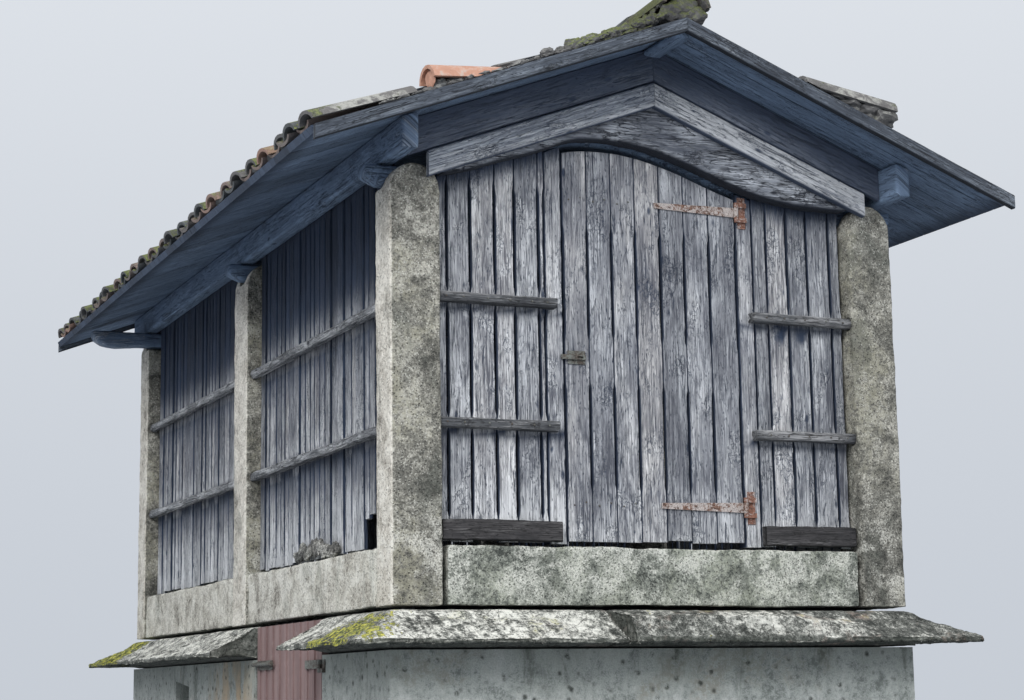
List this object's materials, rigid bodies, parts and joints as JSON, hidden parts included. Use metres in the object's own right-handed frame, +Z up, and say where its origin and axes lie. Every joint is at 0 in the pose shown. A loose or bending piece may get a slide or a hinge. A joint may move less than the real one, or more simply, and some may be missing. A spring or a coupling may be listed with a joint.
{
  "type": "raised granary",
  "caption": "Boarded grain chamber between round-headed granite pillars on a ring of projecting slabs, over a rendered store, under a tiled gable roof; both doors swing open.",
  "frame": {"origin": "on the ground, under the middle of the roof in plan", "axes": "+X to the right along the front, +Y from the front gable to the rear gable, +Z up"},
  "size_m": [3.092, 4.748, 4.3629],
  "materials": {
    "bargeboards": "bare, weathered silver-grey",
    "boards_front": "bare, weathered silver-grey",
    "boards_left": "bare, weathered silver-grey",
    "boards_rear": "bare, weathered silver-grey",
    "boards_right": "bare, weathered silver-grey",
    "chamber_door": "bare, weathered silver-grey",
    "chamber_floor": "bare, weathered silver-grey",
    "door_hasp": "rusty",
    "door_hinge_plates": "rusty",
    "door_posts": "bare, weathered silver-grey",
    "door_straps": "rusty",
    "gable_boards_front": "bare, weathered silver-grey",
    "gable_boards_rear": "bare, weathered silver-grey",
    "kick_boards": "bare, weathered silver-grey",
    "lintel_front": "bare, weathered silver-grey",
    "lintel_rear": "bare, weathered silver-grey",
    "pillars_front": "matt, weathered and lichened",
    "pillars_middle": "matt, weathered and lichened",
    "pillars_rear": "matt, weathered and lichened",
    "rails_front": "bare, weathered silver-grey",
    "rails_left": "bare, weathered silver-grey",
    "rails_rear": "bare, weathered silver-grey",
    "rails_right": "bare, weathered silver-grey",
    "ridge_beam": "bare, weathered silver-grey",
    "ridge_tiles": "matt, mossy",
    "roof_deck_left": "bare, weathered silver-grey",
    "roof_deck_right": "bare, weathered silver-grey",
    "sill_front": "matt, weathered and lichened",
    "sill_rear": "matt, weathered and lichened",
    "sills_left": "matt, weathered and lichened",
    "sills_right": "matt, weathered and lichened",
    "slab_front_left": "matt, weathered and lichened",
    "slab_front_right": "matt, weathered and lichened",
    "slab_left": "matt, weathered and lichened",
    "slab_rear": "matt, weathered and lichened",
    "slab_right": "matt, weathered and lichened",
    "store_bolt": "rusty",
    "store_door": "dull brown paint",
    "store_door_straps": "rusty",
    "store_hinge_pins": "rusty",
    "store_wall_door_pier": "rough limewashed render",
    "store_wall_front": "rough limewashed render",
    "store_wall_left": "rough limewashed render",
    "store_wall_rear": "rough limewashed render",
    "store_wall_right": "rough limewashed render",
    "tie_beams": "bare, weathered silver-grey",
    "tiles_left": "matt, mossy",
    "tiles_right": "matt, mossy",
    "wall_plates": "bare, weathered silver-grey"
  },
  "bodies": {
    "granary": {"bargeboards": "bargeboards", "boards_front": "boards_front", "boards_left": "boards_left", "boards_rear": "boards_rear", "boards_right": "boards_right", "chamber_floor": "chamber_floor", "door_hinge_plates": "door_hinge_plates", "door_posts": "door_posts", "gable_boards_front": "gable_boards_front", "gable_boards_rear": "gable_boards_rear", "kick_boards": "kick_boards", "lintel_front": "lintel_front", "lintel_rear": "lintel_rear", "pillars_front": "pillars_front", "pillars_middle": "pillars_middle", "pillars_rear": "pillars_rear", "rails_front": "rails_front", "rails_left": "rails_left", "rails_rear": "rails_rear", "rails_right": "rails_right", "ridge_beam": "ridge_beam", "ridge_tiles": "ridge_tiles", "roof_deck_left": "roof_deck_left", "roof_deck_right": "roof_deck_right", "sill_front": "sill_front", "sill_rear": "sill_rear", "sills_left": "sills_left", "sills_right": "sills_right", "slab_front_left": "slab_front_left", "slab_front_right": "slab_front_right", "slab_left": "slab_left", "slab_rear": "slab_rear", "slab_right": "slab_right", "store_hinge_pins": "store_hinge_pins", "store_wall_door_pier": "store_wall_door_pier", "store_wall_front": "store_wall_front", "store_wall_left": "store_wall_left", "store_wall_rear": "store_wall_rear", "store_wall_right": "store_wall_right", "tie_beams": "tie_beams", "tiles_left": "tiles_left", "tiles_right": "tiles_right", "wall_plates": "wall_plates"},
    "chamber_door": {"chamber_door": "chamber_door", "door_straps": "door_straps", "door_hasp": "door_hasp"},
    "store_door": {"store_door": "store_door", "store_door_straps": "store_door_straps", "store_bolt": "store_bolt"}
  },
  "joints": [
    {"name": "chamber_door_hinge", "type": "hinge", "parent": "granary", "child": "chamber_door", "pos_m": [0.4055, -1.98, 2.95], "axis": [0, 0, 1], "range_deg": [0, 105]},
    {"name": "store_door_hinge", "type": "hinge", "parent": "granary", "child": "store_door", "pos_m": [-1.13, -1.2475, 1], "axis": [0, 0, 1], "range_deg": [0, 90]}
  ]
}
